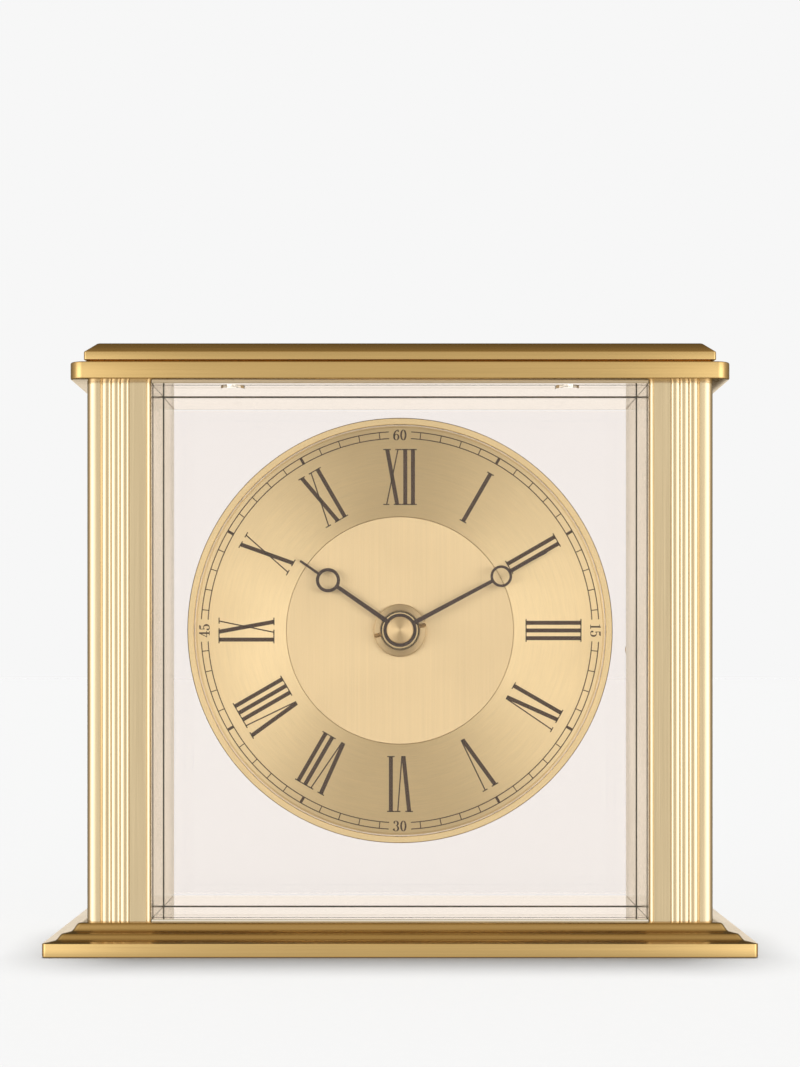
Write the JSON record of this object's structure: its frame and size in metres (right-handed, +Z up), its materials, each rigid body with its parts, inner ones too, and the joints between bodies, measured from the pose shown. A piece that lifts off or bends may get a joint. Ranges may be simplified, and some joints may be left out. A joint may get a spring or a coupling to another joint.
{
  "type": "mantel clock",
  "caption": "Glazed brass mantel clock with reeded pillars, a stepped base, a round dial with hands and a hinged rear glass door.",
  "frame": {"origin": "middle of the felt underside", "axes": "+Z up, +X along the width to the right as seen from the front, -Y out of the front glass"},
  "size_m": [0.1756, 0.0664, 0.1527],
  "materials": {
    "case_brass": "brushed along its length, lacquered",
    "pillar_brass": "brushed upwards, pale gold",
    "ring_brass": "brushed in circles",
    "disc_brass": "brushed upwards",
    "bright_brass": "polished",
    "dark_hands": "satin brown-black",
    "bright_nickel": "polished",
    "plain_steel": "zinc plated",
    "black_plastic": "fine grained",
    "white_plastic": "moulded",
    "battery_wrap": "printed film",
    "green_board": "solder resist",
    "copper_wire": "enamelled wire",
    "black_rubber": "matt",
    "dark_felt": "felt",
    "clear_glass": "clear, ground edges"
  },
  "bodies": {
    "case": {"base_plinth": "case_brass", "base_cover": "plain_steel", "felt_pad": "dark_felt", "left_pillar": "pillar_brass", "right_pillar": "pillar_brass", "cornice_slab": "case_brass", "cap_plate": "case_brass", "tie_rod_front_left": "plain_steel", "tie_rod_rear_left": "plain_steel", "tie_rod_front_right": "plain_steel", "tie_rod_rear_right": "plain_steel", "cap_screw_left": "dark_hands", "cap_screw_right": "dark_hands", "front_ceiling_liner": "bright_nickel", "front_floor_liner": "bright_nickel", "rear_ceiling_liner": "bright_nickel", "rear_floor_liner": "bright_nickel", "front_glass": "clear_glass", "dial_glass": "clear_glass", "dial_backplate": "plain_steel", "chapter_ring": "ring_brass", "centre_disc": "disc_brass", "dial_bezel": "bright_brass", "dial_nut": "bright_brass", "movement_case": "black_plastic", "movement_rear_cover": "black_plastic", "centre_bush": "bright_brass", "rubber_washer": "black_rubber", "battery": "battery_wrap", "positive_contact": "bright_nickel", "negative_contact": "bright_nickel", "circuit_board": "green_board", "quartz_crystal": "bright_nickel", "coil": "copper_wire", "stator": "plain_steel", "catch_magnet": "plain_steel"},
    "minute_group": {"centre_wheel": "bright_brass", "minute_hand": "dark_hands", "hand_cap": "bright_brass"},
    "hour_group": {"hour_wheel": "bright_brass", "hour_hand": "dark_hands"},
    "setting_group": {"minute_wheel": "white_plastic", "setting_knob": "black_plastic"},
    "third_group": {"third_wheel": "white_plastic"},
    "seconds_group": {"seconds_wheel": "white_plastic"},
    "rotor_group": {"rotor": "plain_steel"},
    "rear_door": {"rear_glass": "clear_glass", "top_door_hinge": "bright_brass", "bottom_door_hinge": "bright_brass", "door_knob": "bright_brass", "catch_plate": "plain_steel"}
  },
  "joints": [
    {"name": "minute_turn", "type": "hinge", "parent": "case", "child": "minute_group", "pos_m": [0, 0, 0.0808], "axis": [0, 1, 0], "continuous": true},
    {"name": "hour_turn", "type": "hinge", "parent": "case", "child": "hour_group", "pos_m": [0, 0, 0.0808], "axis": [0, 1, 0], "continuous": true},
    {"name": "setting_turn", "type": "hinge", "parent": "case", "child": "setting_group", "pos_m": [-0.006, 0, 0.0888], "axis": [0, 1, 0], "continuous": true},
    {"name": "third_turn", "type": "hinge", "parent": "case", "child": "third_group", "pos_m": [0.00696, 0, 0.08568], "axis": [0, 1, 0], "continuous": true},
    {"name": "seconds_turn", "type": "hinge", "parent": "case", "child": "seconds_group", "pos_m": [0.01047, 0, 0.09175], "axis": [0, 1, 0], "continuous": true},
    {"name": "rotor_turn", "type": "hinge", "parent": "case", "child": "rotor_group", "pos_m": [0.0045, 0, 0.0952], "axis": [0, 1, 0], "continuous": true},
    {"name": "door_turn", "type": "hinge", "parent": "case", "child": "rear_door", "pos_m": [-0.0741, 0.0245, 0.075], "axis": [0, 0, 1], "range_deg": [0, 100]}
  ],
  "couplings": [
    {"joint": "hour_turn", "follows": "minute_turn", "ratio": 0.083333},
    {"joint": "setting_turn", "follows": "minute_turn", "ratio": -0.33333},
    {"joint": "third_turn", "follows": "minute_turn", "ratio": -7.5},
    {"joint": "seconds_turn", "follows": "minute_turn", "ratio": 60}
  ]
}
